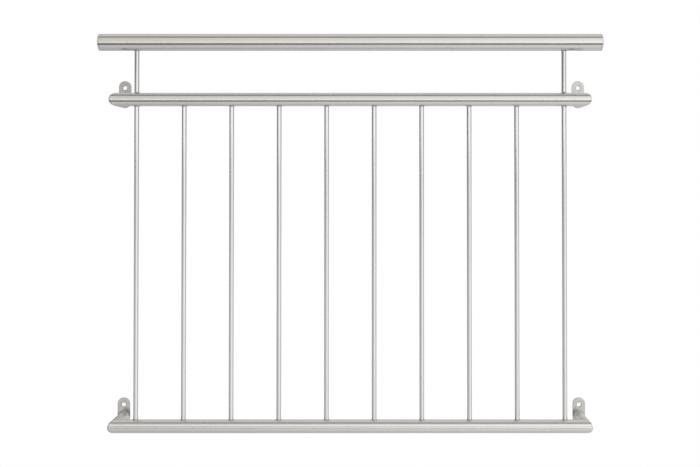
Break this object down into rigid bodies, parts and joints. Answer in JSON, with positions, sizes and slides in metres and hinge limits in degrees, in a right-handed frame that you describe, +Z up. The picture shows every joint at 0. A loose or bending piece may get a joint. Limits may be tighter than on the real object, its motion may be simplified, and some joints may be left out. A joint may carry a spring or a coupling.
{
  "type": "juliet balcony railing",
  "caption": "Wall-fixed window railing of round stainless tube: capped handrail on end posts, upright bars between two rails, mitred returns to drilled wall plates.",
  "frame": {"origin": "on the wall, on the back face of the lower left wall plate, where its return tube's axis meets it", "axes": "+X along the rails, to the right as seen from outside; +Y into the wall; +Z up"},
  "size_m": [1.28, 0.1112, 1.0061],
  "materials": {
    "handrail_steel": "stainless tube, ground with a fine grit round its length",
    "rail_steel": "stainless tube, ground with a fine grit, with its mitre welds ground flush",
    "bar_steel": "drawn stainless bar, satin",
    "plate_steel": "cut stainless plate, satin, with deburred edges"
  },
  "bodies": {
    "root": {"handrail": "handrail_steel", "handrail_left_cap": "handrail_steel", "handrail_right_cap": "handrail_steel", "left_post": "bar_steel", "right_post": "bar_steel", "bar_1": "bar_steel", "bar_2": "bar_steel", "bar_3": "bar_steel", "bar_4": "bar_steel", "bar_5": "bar_steel", "bar_6": "bar_steel", "bar_7": "bar_steel", "bar_8": "bar_steel", "lower_rail": "rail_steel", "upper_rail": "rail_steel", "lower_left_return": "rail_steel", "lower_left_wall_plate": "plate_steel", "lower_right_return": "rail_steel", "lower_right_wall_plate": "plate_steel", "upper_left_return": "rail_steel", "upper_left_wall_plate": "plate_steel", "upper_right_return": "rail_steel", "upper_right_wall_plate": "plate_steel"}
  },
  "joints": []
}
